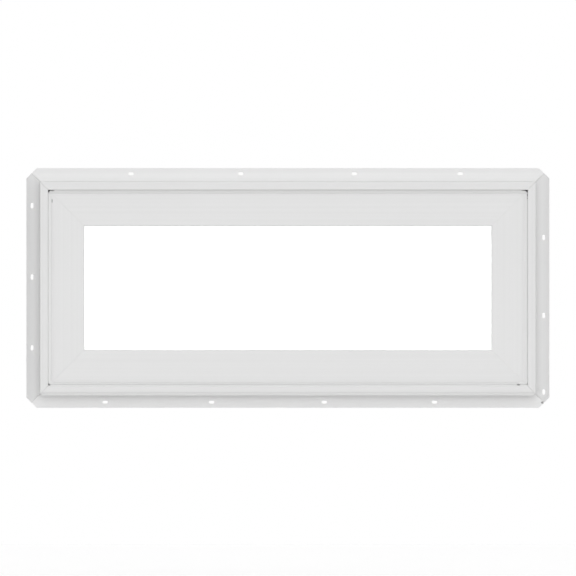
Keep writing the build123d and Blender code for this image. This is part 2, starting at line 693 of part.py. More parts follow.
with BuildPart() as lock_case:
    with BuildSketch(lock_plane(STOP_WIDTH)):
        RectangleRounded(LOCK_DEPTH, LOCK_LENGTH, LOCK_CORNER)
    extrude(amount=LOCK_HEIGHT)
    chamfer(lock_case.faces().sort_by(Axis.X)[-1].edges(), length=SMALL_CHAMFER)
    with BuildSketch(lock_plane(STOP_WIDTH + SMALL_CHAMFER)):
        tongue_reach = LOCK_Y - SASH_ROOM_Y - KEEPER_THICKNESS - TONGUE_CLEARANCE
        Rectangle(tongue_reach, TONGUE_WIDTH, align=(Align.MAX, Align.CENTER))
    extrude(amount=TONGUE_HEIGHT)
save_pair(lock_case, "lock_case")

with BuildPart() as lock_lever:
    with BuildSketch(lock_plane(STOP_WIDTH + LOCK_HEIGHT)):
        Circle(LEVER_HUB)
        with Locations((0, -LEVER_REACH)):
            Circle(LEVER_TIP)
        make_hull()
    extrude(amount=LEVER_THICKNESS)
save_pair(lock_lever, "lock_lever")

KEEPER_EDGE = (STOP_WIDTH - FRAME_WIDTH / 2, SASH_ROOM_Y, LOCK_Z)
with BuildPart() as lock_keeper:
    with BuildSketch(Plane(origin=KEEPER_EDGE, x_dir=(1, 0, 0), z_dir=(0, 1, 0))):
        Rectangle(KEEPER_WIDTH, KEEPER_LENGTH, align=(Align.MIN, Align.CENTER))
    extrude(amount=KEEPER_THICKNESS)
save_pair(lock_keeper, "lock_keeper")
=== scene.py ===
"""Looks of the white vinyl awning window: finishes, small fasteners, light, floor and camera.

All lengths are in metres, in the shared frame: X to the right as seen from outdoors, Y from
outdoors to indoors, Z up, and the nail fin's back face at Y = 0.
"""

import json
import math

import bmesh
import bpy
from mathutils import Matrix, Vector


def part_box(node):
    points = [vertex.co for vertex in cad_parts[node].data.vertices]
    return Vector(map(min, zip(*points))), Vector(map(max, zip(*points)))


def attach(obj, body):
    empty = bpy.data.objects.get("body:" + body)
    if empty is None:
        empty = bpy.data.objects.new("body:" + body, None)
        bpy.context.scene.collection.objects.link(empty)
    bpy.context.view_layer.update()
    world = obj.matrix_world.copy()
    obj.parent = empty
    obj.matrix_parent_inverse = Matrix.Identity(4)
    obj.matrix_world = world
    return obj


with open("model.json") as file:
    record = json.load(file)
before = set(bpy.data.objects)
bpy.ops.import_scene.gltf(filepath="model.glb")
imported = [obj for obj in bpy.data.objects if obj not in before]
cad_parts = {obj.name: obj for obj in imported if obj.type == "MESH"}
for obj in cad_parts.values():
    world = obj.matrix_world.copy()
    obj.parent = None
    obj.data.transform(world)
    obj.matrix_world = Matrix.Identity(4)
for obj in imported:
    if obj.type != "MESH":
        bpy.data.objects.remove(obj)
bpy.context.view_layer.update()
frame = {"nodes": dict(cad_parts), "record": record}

# Places worked out from the frame, and the widths of the nail fin and of the frame's face
FIN_WIDTH = 0.0254
FACE_WIDTH = 0.0146
SILL_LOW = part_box("frame_sill")[0]
HEAD_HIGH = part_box("frame_head")[1]
JAMB_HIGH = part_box("frame_jamb_right")[1]
CENTRE_Z = (HEAD_HIGH.z + SILL_LOW.z) / 2
CORNER_OFFSET = JAMB_HIGH.x - (HEAD_HIGH.z - CENTRE_Z)
FRAME_HALF_WIDTH = JAMB_HIGH.x - FIN_WIDTH
FRAME_HALF_HEIGHT = HEAD_HIGH.z - CENTRE_Z - FIN_WIDTH
FRAME_BOTTOM = SILL_LOW.z + FIN_WIDTH
HEAD_EDGE = HEAD_HIGH.z - FIN_WIDTH - FACE_WIDTH

# The world's light: how strong it is all round, and what each bright patch adds
SKY_ALL_ROUND = 0.03
SKY_FRONT = 0.50
SKY_BACK = 0.22
PATCH_FALL_OFF = 3.0
SKY_ABOVE = 1.0
ABOVE_STARTS = 0.45
SKY_SIDES = 1.0
SIDE_STARTS = 0.60
SIDE_IS_FULL = 0.68
SIDE_FADES = 0.82
SIDE_ENDS = 1.0
RIGHT_OVER_LEFT = 0.35

# The two lamps: strength, angle of softness and where the light comes from
FRONT_LAMP = (0.74, math.radians(40), Vector((0.05, -1.0, 0.26)))
BACK_LAMP = (0.85, math.radians(10), Vector((-0.7, 1.0, 0.8)))

# The floor: colour, what it gives off where it is seen, drop below the sill, and size
FLOOR_COLOUR = 0.70
FLOOR_DULLNESS = 0.99
FLOOR_GRAIN = 20.0
FLOOR_LIFT = 0.31
FLOOR_DROP = 0.32
FLOOR_SIZE = 9.0
FLOOR_STEPS = 8
FLOOR_ROUGHNESS = 0.9
FLOOR_SPECULAR = 0.1

# Camera: straight on and far off, with the width that the photo spans at the nail fin and its middle
LENS = 1000.0
SENSOR = 36.0
PHOTO_SPAN = 1.0490
PHOTO_X = 0.0002
PHOTO_Z = 0.2056


# Node helpers
NOISE_LOW = 0.3
NOISE_HIGH = 0.7


def new_finish(name):
    """A new material with its node tree and its shader."""
    material = bpy.data.materials.new(name)
    material.use_nodes = True
    return material, material.node_tree, material.node_tree.nodes["Principled BSDF"]


def object_place(tree):
    """The X, Y and Z of a point of the object, as sockets by name."""
    place = tree.nodes.new("ShaderNodeTexCoord")
    parts = tree.nodes.new("ShaderNodeSeparateXYZ")
    tree.links.new(place.outputs["Object"], parts.inputs["Vector"])
    return parts.outputs


def texture(tree, kind, scale, **settings):
    """A texture over the object's own place; scale is one number, or one for each axis."""
    place = tree.nodes.new("ShaderNodeTexCoord")
    mapping = tree.nodes.new("ShaderNodeMapping")
    mapping.inputs["Scale"].default_value = scale if isinstance(scale, tuple) else (scale,) * 3
    tree.links.new(place.outputs["Object"], mapping.inputs["Vector"])
    made = tree.nodes.new(kind)
    made.inputs["Scale"].default_value = 1.0
    tree.links.new(mapping.outputs["Vector"], made.inputs["Vector"])
    for key, value in settings.items():
        made.inputs[key].default_value = value
    return made


def noise(tree, scale, detail=3.0):
    """A noise field; scale is how many features go to a metre."""
    return texture(tree, "ShaderNodeTexNoise", scale, Detail=detail).outputs["Fac"]


def remap(tree, value, from_low, from_high, to_low, to_high):
    """A value carried from one range to another, and kept within it."""
    made = tree.nodes.new("ShaderNodeMapRange")
    made.clamp = True
    made.inputs["From Min"].default_value = from_low
    made.inputs["From Max"].default_value = from_high
    made.inputs["To Min"].default_value = to_low
    made.inputs["To Max"].default_value = to_high
    tree.links.new(value, made.inputs["Value"])
    return made.outputs["Result"]


def spread(tree, field, low, high):
    """The range that most of a noise field lies in, carried to another range."""
    return remap(tree, field, NOISE_LOW, NOISE_HIGH, low, high)


def math_node(tree, operation, first, second=None):
    """One math step on sockets or numbers."""
    made = tree.nodes.new("ShaderNodeMath")
    made.operation = operation
    for index, value in enumerate((first, second)):
        if isinstance(value, (int, float)):
            made.inputs[index].default_value = value
        elif value is not None:
            tree.links.new(value, made.inputs[index])
    return made.outputs["Value"]


def add(tree, first, second):
    """The sum of two values."""
    return math_node(tree, "ADD", first, second)


def subtract(tree, first, second):
    """One value less another."""
    return math_node(tree, "SUBTRACT", first, second)


def multiply(tree, first, second):
    """The product of two values."""
    return math_node(tree, "MULTIPLY", first, second)


def larger(tree, first, second):
    """The larger of two values."""
    return math_node(tree, "MAXIMUM", first, second)


def unsigned(tree, value):
    """A value without its sign."""
    return math_node(tree, "ABSOLUTE", value)


def mix_colours(tree, share, first, second):
    """Two colours, each a socket or three numbers, mixed by a share."""
    made = tree.nodes.new("ShaderNodeMix")
    made.data_type = "RGBA"
    tree.links.new(share, made.inputs["Factor"])
    for name, value in (("A", first), ("B", second)):
        socket = [s for s in made.inputs if s.name == name and s.type == "RGBA"][0]
        if isinstance(value, tuple):
            socket.default_value = (*value, 1.0)
        else:
            tree.links.new(value, socket)
    return [s for s in made.outputs if s.type == "RGBA"][0]


def darkened(colour, share):
    """A colour times a share."""
    return tuple(part * share for part in colour)


def rounded_normal(tree, radius):
    """A normal that rounds off sharp edges a little."""
    made = tree.nodes.new("ShaderNodeBevel")
    made.samples = 4
    made.inputs["Radius"].default_value = radius
    return made.outputs["Normal"]


def bump(tree, height, depth, normal=None):
    """A bump of a given depth in metres."""
    made = tree.nodes.new("ShaderNodeBump")
    made.inputs["Strength"].default_value = 1.0
    made.inputs["Distance"].default_value = depth
    tree.links.new(height, made.inputs["Height"])
    if normal is not None:
        tree.links.new(normal, made.inputs["Normal"])
    return made.outputs["Normal"]


# Directions that extrusions and brushed lines run in, as the index of an axis
ALONG_X = 0
ALONG_Z = 2


def stretch_along(along, length_scale, cross_scale):
    """Scales for lines that run along X or Z."""
    return tuple(length_scale if axis == along else cross_scale for axis in range(3))


# Marks, painted light and painted shade on the vinyl
WELD_HALF_WIDTH = 0.0011
FIN_FADE = (0.0001, 0.0004)
CORNER_SHADE_GRAIN = 700.0
CORNER_SHADE_RAGGED = 0.35
CORNER_SHADE_EDGE = (0.3, 1.3)
CORNER_SHADE_SHARE = 0.75
# Painted shade in the gaps and the notch at the corners: X and Z of the middle, half width and half height
CORNER_SHADE_MARKS = (
    (0.4635, -0.0031, 0.0030, 0.0022),
    (0.4194, 0.0297, 0.0030, 0.0012),
    (0.4310, 0.3826, 0.0070, 0.0008),
    (0.4356, 0.3745, 0.0008, 0.0030),
    (0.4356, 0.3690, 0.0007, 0.0016),
    (-0.4287, 0.3830, 0.0040, 0.0012),
    (-0.4290, 0.3640, 0.0008, 0.0040),
)
# Grain and fade of the edges of the painted shade bands
SHADE_BAND_GRAIN = 60.0
SHADE_BAND_FADE = 0.0004
# Bands of painted shade, under the head's edge and along the drip lip: lowest Z, highest Z, share
UNDER_HEAD = ((HEAD_EDGE - 0.0073, HEAD_EDGE, 0.32),)
ON_DRIP_LIP = (
    (FRAME_BOTTOM - 0.0020, FRAME_BOTTOM + 0.0017, 0.21),
    (FRAME_BOTTOM + 0.0017, FRAME_BOTTOM + 0.0035, 0.42),
)


def weld_mask(tree):
    """One on the mitre lines of the corners, and nothing past a half width from them."""
    place = object_place(tree)
    up = unsigned(tree, subtract(tree, place["Z"], CENTRE_Z))
    off_line = subtract(tree, subtract(tree, unsigned(tree, place["X"]), up), CORNER_OFFSET)
    return remap(tree, unsigned(tree, off_line), 0.0, WELD_HALF_WIDTH, 1.0, 0.0)


def fin_mask(tree):
    """One on the nail fin, outside the frame's walls."""
    place = object_place(tree)
    past_side = subtract(tree, unsigned(tree, place["X"]), FRAME_HALF_WIDTH)
    up = unsigned(tree, subtract(tree, place["Z"], CENTRE_Z))
    past_end = subtract(tree, up, FRAME_HALF_HEIGHT)
    return remap(tree, larger(tree, past_side, past_end), *FIN_FADE, 0.0, 1.0)


def outdoors_only(tree, mask, place):
    """A mask kept to the outdoor side of the nail fin's back face."""
    return multiply(tree, mask, math_node(tree, "LESS_THAN", place["Y"], 0.0))


def corner_shade_mask(tree):
    """The share of painted shade on the dark marks in the corners' gaps and notch, on the outdoor side,
    with ragged edges.
    """
    place = object_place(tree)
    ragged = spread(tree, noise(tree, CORNER_SHADE_GRAIN), -CORNER_SHADE_RAGGED, CORNER_SHADE_RAGGED)
    mask = 0.0
    for middle_x, middle_z, half_width, half_height in CORNER_SHADE_MARKS:
        across = math_node(tree, "DIVIDE", subtract(tree, place["X"], middle_x), half_width)
        up = math_node(tree, "DIVIDE", subtract(tree, place["Z"], middle_z), half_height)
        square = add(tree, math_node(tree, "POWER", across, 2.0), math_node(tree, "POWER", up, 2.0))
        near = remap(tree, add(tree, square, ragged), *CORNER_SHADE_EDGE, CORNER_SHADE_SHARE, 0.0)
        mask = larger(tree, near, mask)
    return outdoors_only(tree, mask, place)


def shade_band_mask(tree, bands):
    """The share of painted shade in level bands of the outdoor side, with slightly uneven edges."""
    place = object_place(tree)
    height = add(tree, place["Z"], spread(tree, noise(tree, SHADE_BAND_GRAIN), -SHADE_BAND_FADE, SHADE_BAND_FADE))
    mask = 0.0
    for low, high, share in bands:
        above_low = remap(tree, height, low - SHADE_BAND_FADE, low + SHADE_BAND_FADE, 0.0, share)
        under_high = remap(tree, height, high - SHADE_BAND_FADE, high + SHADE_BAND_FADE, 1.0, 0.0)
        mask = larger(tree, multiply(tree, above_low, under_high), mask)
    return outdoors_only(tree, mask, place)


# Colours
# Painted light and shade: the fin's side strips are toned darker, and its top and bottom strips lighter,
# than the rest of the vinyl, for how the light falls on them. The fin's side strips are toned darker
# than its top and bottom ones, to match the photo's light
FIN_PAINTED_LIGHT_AND_SHADE = {ALONG_X: (0.876, 0.876, 0.875), ALONG_Z: (0.770, 0.770, 0.769)}
FIN_DULLNESS = 0.97
# Near black of the painted shade in the corners' gaps and notch
CORNER_SHADE_COLOUR = (0.10, 0.098, 0.092)
# Grey of the painted shade bands
SHADE_BAND_COLOUR = (0.60, 0.598, 0.592)
WELD_TINT = (0.60, 0.595, 0.585)
SPECK_TINT = (0.62, 0.61, 0.58)
WHITE = (0.795, 0.795, 0.79)
KNOB_WHITE = (0.76, 0.76, 0.755)
STEEL = (0.62, 0.62, 0.61)

# Vinyl: scales are features to a metre, as one number or as lengthwise and across
CLOUD_SCALE = 5.0
CLOUD_SHARE = 0.4
STREAK_SCALES = (0.6, 200.0)
STREAK_RANGE = (0.35, 0.65)
STREAK_SHARE = 0.6
SPECK_SCALE = 900.0
SPECK_RANGE = (0.72, 0.80)
SPECK_SHARE = 0.35
DIE_LINE_SCALES = (0.4, 1400.0)
DIE_LINE_DEPTH = 0.0000015
WAVE_SCALES = (1.5, 12.0)
WAVE_DEPTH = 0.00004
VINYL_ROUGHNESS = (0.33, 0.38)
WELD_ROUGHNESS = 0.2
VINYL_IOR = 1.53
VINYL_SPECULAR = 0.45

# Mouldings and powder coat
MOULDING_CLOUDS = 30.0
MOULDING_DULLNESS = 0.95
MOULDING_EDGE = 0.0007
COAT_ROUGHNESS = 0.15

# Metal
STAIN_SCALE = 40.0
STAIN_RANGE = (0.35, 0.75)
BRUSH_SCALES = (12.0, 2500.0)
BRUSH_DEPTH = 0.000008
METAL_EDGE = 0.0003

# Seals, tape, sealant and blocks
RUBBER_CLOUDS = 60.0
DUSTY_GAIN = 1.15
DUSTY_LIFT = 0.02
RUBBER_SPECULAR = 0.3

# Glass and its spacer
ROLLER_SCALE = (3.0, 3.0, 9.0)
ROLLER_DEPTH = 0.00004
GLASS_TINTS = ((0.994, 1.0, 0.997), (0.996, 1.0, 0.998))
GLASS_IOR = 1.52
HOLE_SCALE = 420.0
HOLE_EDGE = (0.12, 0.2)
HOLE_COLOUR = (0.18, 0.18, 0.19)
SPACER_COLOUR = (0.74, 0.75, 0.76)
SPACER_ROUGHNESS = (0.28, 0.42)
DRAWN_SCALE = (200.0, 1500.0, 200.0)
DRAWN_DEPTH = 0.00001


def vinyl_tone(tree, along, bright, dull, fin_painted_light_and_shade):
    """Clouds and lengthwise streaks between two tones, and on the fin between its own two tones of painted
    light and shade, where it has any.
    """
    clouds = spread(tree, noise(tree, CLOUD_SCALE, detail=4.0), 0.0, CLOUD_SHARE)
    streaky = noise(tree, stretch_along(along, *STREAK_SCALES), detail=2.0)
    shade = add(tree, clouds, remap(tree, streaky, *STREAK_RANGE, 0.0, STREAK_SHARE))
    tone = mix_colours(tree, shade, dull, bright)
    # Painted light and shade on the fin: darker side strips, lighter top and bottom strips
    if fin_painted_light_and_shade:
        fin_dull = darkened(fin_painted_light_and_shade[along], FIN_DULLNESS)
        fin = mix_colours(tree, shade, fin_dull, fin_painted_light_and_shade[along])
        tone = mix_colours(tree, fin_mask(tree), tone, fin)
    return tone


def vinyl(name, along, bright, dull, weld_share, shade_bands, fin_painted_light_and_shade=None):
    """Extruded white vinyl: satin, with fine die lines, slow waves, scraped welds, and painted light and
    shade on the fin, in bands and in the corners.
    """
    material, tree, shader = new_finish(name)
    tone = vinyl_tone(tree, along, bright, dull, fin_painted_light_and_shade)
    weld = weld_mask(tree)
    tone = mix_colours(tree, multiply(tree, weld, weld_share), tone, WELD_TINT)
    specks = remap(tree, noise(tree, SPECK_SCALE, detail=1.0), *SPECK_RANGE, 0.0, SPECK_SHARE)
    tone = mix_colours(tree, specks, tone, SPECK_TINT)
    # Painted shade in level bands under the head's edge and along the drip lip
    if shade_bands[along]:
        tone = mix_colours(tree, shade_band_mask(tree, shade_bands[along]), tone, SHADE_BAND_COLOUR)
    # Painted shade in the gaps and the notch at the corners
    tone = mix_colours(tree, corner_shade_mask(tree), tone, CORNER_SHADE_COLOUR)
    tree.links.new(tone, shader.inputs["Base Color"])
    lines = noise(tree, stretch_along(along, *DIE_LINE_SCALES), detail=1.0)
    roughness = add(tree, spread(tree, lines, *VINYL_ROUGHNESS), multiply(tree, weld, WELD_ROUGHNESS))
    tree.links.new(roughness, shader.inputs["Roughness"])
    waves = bump(tree, noise(tree, stretch_along(along, *WAVE_SCALES), detail=1.0), WAVE_DEPTH)
    tree.links.new(bump(tree, lines, DIE_LINE_DEPTH, waves), shader.inputs["Normal"])
    shader.inputs["IOR"].default_value = VINYL_IOR
    shader.inputs["Specular IOR Level"].default_value = VINYL_SPECULAR
    return material


def moulded(name, colour, roughness, grain, depth, coat=0.0):
    """Moulded plastic or powder coat: one colour with a faint cloud and a fine orange peel."""
    material, tree, shader = new_finish(name)
    darker = darkened(colour, MOULDING_DULLNESS)
    cloud = noise(tree, MOULDING_CLOUDS)
    tree.links.new(mix_colours(tree, cloud, darker, colour), shader.inputs["Base Color"])
    peel = noise(tree, grain, detail=2.0)
    tree.links.new(spread(tree, peel, *roughness), shader.inputs["Roughness"])
    rounded = rounded_normal(tree, MOULDING_EDGE)
    tree.links.new(bump(tree, peel, depth, rounded), shader.inputs["Normal"])
    shader.inputs["Coat Weight"].default_value = coat
    shader.inputs["Coat Roughness"].default_value = COAT_ROUGHNESS
    return material


def metal(name, colour, along, roughness, stain=0.12):
    """Strip or drawn metal with brushed lines along one axis and a cloudy stain."""
    material, tree, shader = new_finish(name)
    cloud = remap(tree, noise(tree, STAIN_SCALE, detail=5.0), *STAIN_RANGE, 0.0, 1.0)
    stained = darkened(colour, 1.0 - stain)
    tree.links.new(mix_colours(tree, cloud, colour, stained), shader.inputs["Base Color"])
    brushed = noise(tree, stretch_along(along, *BRUSH_SCALES), detail=2.0)
    tree.links.new(spread(tree, brushed, *roughness), shader.inputs["Roughness"])
    rounded = rounded_normal(tree, METAL_EDGE)
    tree.links.new(bump(tree, brushed, BRUSH_DEPTH, rounded), shader.inputs["Normal"])
    shader.inputs["Metallic"].default_value = 1.0
    return material


def rubber(name, colour, roughness, grain, depth):
    """Soft seals, tape, sealant and blocks: matt, with a pitted skin."""
    material, tree, shader = new_finish(name)
    dusty = tuple(min(1.0, part * DUSTY_GAIN + DUSTY_LIFT) for part in colour)
    cloud = noise(tree, RUBBER_CLOUDS, detail=4.0)
    tree.links.new(mix_colours(tree, cloud, colour, dusty), shader.inputs["Base Color"])
    pits = noise(tree, grain)
    tree.links.new(spread(tree, pits, *roughness), shader.inputs["Roughness"])
    tree.links.new(bump(tree, pits, depth), shader.inputs["Normal"])
    shader.inputs["Specular IOR Level"].default_value = RUBBER_SPECULAR
    return material


def glass(name):
    """Clear float glass with a faint roller wave."""
    material, tree, shader = new_finish(name)
    wave = noise(tree, ROLLER_SCALE, detail=1.0)
    tree.links.new(mix_colours(tree, wave, *GLASS_TINTS), shader.inputs["Base Color"])
    tree.links.new(bump(tree, wave, ROLLER_DEPTH), shader.inputs["Normal"])
    shader.inputs["Roughness"].default_value = 0.0
    shader.inputs["IOR"].default_value = GLASS_IOR
    shader.inputs["Transmission Weight"].default_value = 1.0
    return material


def spacer(name):
    """Roll formed aluminium spacer with small breathing holes."""
    material, tree, shader = new_finish(name)
    holes = texture(tree, "ShaderNodeTexVoronoi", HOLE_SCALE, Randomness=0.0)
    dots = remap(tree, holes.outputs["Distance"], *HOLE_EDGE, 1.0, 0.0)
    tree.links.new(mix_colours(tree, dots, SPACER_COLOUR, HOLE_COLOUR), shader.inputs["Base Color"])
    drawn = noise(tree, DRAWN_SCALE, detail=2.0)
    tree.links.new(spread(tree, drawn, *SPACER_ROUGHNESS), shader.inputs["Roughness"])
    tree.links.new(bump(tree, drawn, DRAWN_DEPTH), shader.inputs["Normal"])
    shader.inputs["Metallic"].default_value = 1.0
    return material


# The finish of each material slot, by its kind
VINYLS = {
    "frame_vinyl": dict(
        bright=(0.842, 0.842, 0.841), dull=(0.812, 0.812, 0.810), weld_share=0.35,
        shade_bands={ALONG_X: ON_DRIP_LIP, ALONG_Z: ()}, fin_painted_light_and_shade=FIN_PAINTED_LIGHT_AND_SHADE,
    ),
    "sash_vinyl": dict(
        bright=(0.842, 0.842, 0.841), dull=(0.814, 0.814, 0.812), weld_share=0.06,
        shade_bands={ALONG_X: UNDER_HEAD, ALONG_Z: UNDER_HEAD},
    ),
    "bead_vinyl": dict(
        bright=(0.838, 0.838, 0.836), dull=(0.820, 0.820, 0.817), weld_share=0.2,
        shade_bands={ALONG_X: (), ALONG_Z: ()},
    ),
}
MOULDINGS = {
    "shoe_nylon": dict(colour=(0.70, 0.69, 0.65), roughness=(0.35, 0.50), grain=700.0, depth=0.00002),
    "gear_case_metal": dict(colour=(0.50, 0.50, 0.49), roughness=(0.45, 0.60), grain=900.0, depth=0.00005),
    "cover_plastic": dict(colour=WHITE, roughness=(0.38, 0.50), grain=1600.0, depth=0.000025),
    "handle_metal": dict(colour=WHITE, roughness=(0.30, 0.42), grain=1100.0, depth=0.00003, coat=0.2),
    "knob_plastic": dict(colour=KNOB_WHITE, roughness=(0.24, 0.32), grain=1800.0, depth=0.000004, coat=0.3),
    "lock_metal": dict(colour=WHITE, roughness=(0.30, 0.42), grain=1100.0, depth=0.00003, coat=0.2),
}
RUBBERS = {
    "seal_rubber": dict(colour=(0.34, 0.34, 0.33), roughness=(0.55, 0.75), grain=1500.0, depth=0.00003),
    "edge_sealant": dict(colour=(0.02, 0.02, 0.02), roughness=(0.35, 0.60), grain=300.0, depth=0.0002),
    "glazing_tape": dict(colour=(0.66, 0.66, 0.64), roughness=(0.80, 0.95), grain=2500.0, depth=0.00005),
    "setting_block": dict(colour=(0.015, 0.015, 0.015), roughness=(0.50, 0.70), grain=900.0, depth=0.00004),
}
METALS = {
    "hinge_steel": dict(colour=STEEL, along=ALONG_Z, roughness=(0.24, 0.40)),
    "keeper_steel": dict(colour=STEEL, along=ALONG_Z, roughness=(0.24, 0.40)),
    "operator_steel": dict(colour=(0.60, 0.61, 0.63), along=ALONG_X, roughness=(0.28, 0.45), stain=0.2),
    "sash_track_metal": dict(colour=(0.70, 0.71, 0.72), along=ALONG_X, roughness=(0.25, 0.38)),
}
KINDS = ((moulded, MOULDINGS), (rubber, RUBBERS), (metal, METALS))
PLAIN_KINDS = {"window_glass": glass, "spacer_metal": spacer}
LYING = (
    "frame_head", "frame_sill", "sash_top_rail", "sash_bottom_rail",
    "glazing_bead_head", "glazing_bead_sill",
)
made_finishes = {}


def make_finish(slot, name, along):
    """A new material for a slot; only vinyl depends on the way that its piece runs."""
    if slot in VINYLS:
        return vinyl(name, along, **VINYLS[slot])
    for maker, table in KINDS:
        if slot in table:
            return maker(name, **table[slot])
    return PLAIN_KINDS[slot](name)


def finish_for(slot, along):
    """The finish of a material slot, for a piece that runs along X or Z, made once."""
    name = f"{slot}_{'xyz'[along]}"
    if name not in made_finishes:
        made_finishes[name] = make_finish(slot, name, along)
    return made_finishes[name]


def dress_nodes():
    """Gives each node of the frame its finish, and lets light through the panes."""
    for row in frame["record"]["subparts"]:
        piece = frame["nodes"][row["node"]]
        along = ALONG_X if row["node"] in LYING else ALONG_Z
        piece.data.materials.clear()
        piece.data.materials.append(finish_for(row["material_slot"], along))
    for name in ("glass_outer", "glass_inner"):
        frame["nodes"][name].visible_shadow = False


# Screw heads: radius and height in millimetres, and shares of these for the rim and the recess
MILLIMETRE = 0.001
KEEPER_HEAD = (2.4, 1.5)
CASE_HEAD = (3.2, 1.7)
HUB_HEAD = (2.6, 1.2)
DOME_RINGS = 6
HEAD_SIDES = 32
RIM_SHARE = 0.35
CROSS_LENGTH = 1.15
CROSS_WIDTH = 0.26
SOCKET_SIDES = 6
SOCKET_RADIUS = 0.5
CUTTER_RISE = 0.95


def lathe(points, sides):
    """A closed turned solid about Z from points of radius and height, which start and end on the axis."""
    shape = bmesh.new()
    rows = []
    turns = [2 * math.pi * step / sides for step in range(sides)]
    for radius, height in points:
        circle = [(radius * math.cos(turn), radius * math.sin(turn), height) for turn in turns]
        places = circle if radius > 0 else [(0, 0, height)]
        rows.append([shape.verts.new(place) for place in places])
    for low, high in zip(rows, rows[1:]):
        for step in range(sides):
            corners = [low[step % len(low)], low[(step + 1) % len(low)]]
            corners += [high[(step + 1) % len(high)], high[step % len(high)]]
            shape.faces.new(list(dict.fromkeys(corners)))
    bmesh.ops.recalc_face_normals(shape, faces=shape.faces)
    return shape


def to_object(shape, name):
    """A mesh object from a bmesh, linked to the scene."""
    mesh = bpy.data.meshes.new(name)
    shape.to_mesh(mesh)
    shape.free()
    made = bpy.data.objects.new(name, mesh)
    bpy.context.scene.collection.objects.link(made)
    return made


def cross_bars(radius, height):
    """Two crossed bars that cut a cross recess."""
    bars = []
    for turn in (0, math.pi / 2):
        bar = bmesh.new()
        bmesh.ops.create_cube(bar, size=1)
        bmesh.ops.scale(bar, vec=(radius * CROSS_LENGTH, radius * CROSS_WIDTH, height), verts=bar.verts)
        bmesh.ops.rotate(bar, matrix=Matrix.Rotation(turn, 3, "Z"), verts=bar.verts)
        bars.append(bar)
    return bars


def hexagon_bar(radius, height):
    """One six sided bar that cuts a hexagon socket."""
    bar = bmesh.new()
    reach = radius * SOCKET_RADIUS
    bmesh.ops.create_cone(
        bar, cap_ends=True, segments=SOCKET_SIDES, radius1=reach, radius2=reach, depth=height
    )
    return [bar]


def pan_head(radius, height, recess_bars):
    """The mesh of a pan head, in metres, with the recess that its bars cut."""
    dome = []
    for ring in range(1, DOME_RINGS + 1):
        angle = math.pi / 2 * ring / DOME_RINGS
        rise = RIM_SHARE + (1 - RIM_SHARE) * math.cos(angle)
        dome.append((radius * math.sin(angle), height * rise))
    profile = [(0, height), *dome, (radius, 0), (0, 0)]
    head = to_object(lathe(profile, HEAD_SIDES), "screw_head")
    cutters = []
    for bar in recess_bars(radius, height):
        bmesh.ops.translate(bar, vec=(0, 0, height * CUTTER_RISE), verts=bar.verts)
        cutter = to_object(bar, "screw_cutter")
        cutters.append(cutter)
        cut = head.modifiers.new("recess", "BOOLEAN")
        cut.operation = "DIFFERENCE"
        cut.solver = "EXACT"
        cut.object = cutter
    seen = bpy.context.evaluated_depsgraph_get()
    mesh = bpy.data.meshes.new_from_object(head.evaluated_get(seen))
    mesh.transform(Matrix.Scale(MILLIMETRE, 4))
    for used in [head, *cutters]:
        bpy.data.objects.remove(used)
    return mesh


def set_on(mesh, seats, name, slot, along=ALONG_Z):
    """Copies of a head at seats of a point, an outward direction and a turn, as one piece."""
    shape = bmesh.new()
    for point, outward, turn in seats:
        face = Vector(outward).to_track_quat("Z", "Y").to_matrix().to_4x4()
        copy = mesh.copy()
        copy.transform(Matrix.Translation(point) @ face @ Matrix.Rotation(turn, 4, "Z"))
        shape.from_mesh(copy)
        bpy.data.meshes.remove(copy)
    piece = to_object(shape, name)
    piece.data.materials.append(finish_for(slot, along))
    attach(piece, "root")


# Where screws sit: rise from the keeper's middle or drop from the track's top, each with its turn
KEEPER_SCREWS = ((-0.0125, -0.725), (0.0125, 1.525))
TRACK_SCREWS = ((0.048, 1.92), (0.125, 5.0), (0.198, 7.92))
TRACK_BASE = 0.0015
LOCK_SCREW_INSET = 0.008
LOCK_SCREW_TURN = 0.7
HUB_SCREW_TURN = 0.2


def add_keeper_screws(head, side):
    """Two screws in the plate of a lock keeper."""
    low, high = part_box(f"lock_keeper_{side}")
    middle = (low + high) / 2
    seats = [
        (Vector((middle.x, high.y, middle.z + rise)), (0, 1, 0), turn)
        for rise, turn in KEEPER_SCREWS
    ]
    set_on(head, seats, f"lock_keeper_screws_{side}", "keeper_steel")


def add_lock_screw(head, side, inward):
    """One screw on the face of a lock case, above its lever."""
    low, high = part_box(f"lock_case_{side}")
    lever_low, lever_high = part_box(f"lock_lever_{side}")
    face = high.x if inward > 0 else low.x
    seat = Vector((face, (lever_low.y + lever_high.y) / 2, high.z - LOCK_SCREW_INSET))
    set_on(head, [(seat, (inward, 0, 0), LOCK_SCREW_TURN)], f"lock_case_screw_{side}", "lock_metal")


def add_track_screws(head, side, inward):
    """Three screws through the base of a hinge track."""
    low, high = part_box(f"hinge_track_{side}")
    base = low.x + TRACK_BASE if inward > 0 else high.x - TRACK_BASE
    middle_y = (low.y + high.y) / 2
    seats = [
        (Vector((base, middle_y, high.z - drop)), (inward, 0, 0), turn)
        for drop, turn in TRACK_SCREWS
    ]
    set_on(head, seats, f"hinge_track_screws_{side}", "hinge_steel")


def add_hub_screw(head):
    """The set screw on top of the crank's hub."""
    low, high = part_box("crank_handle")
    hub_radius = (high.y - low.y) / 2
    seat = Vector((high.x - hub_radius, (low.y + high.y) / 2, high.z))
    set_on(head, [(seat, (0, 0, 1), HUB_SCREW_TURN)], "crank_hub_screw", "operator_steel", ALONG_X)


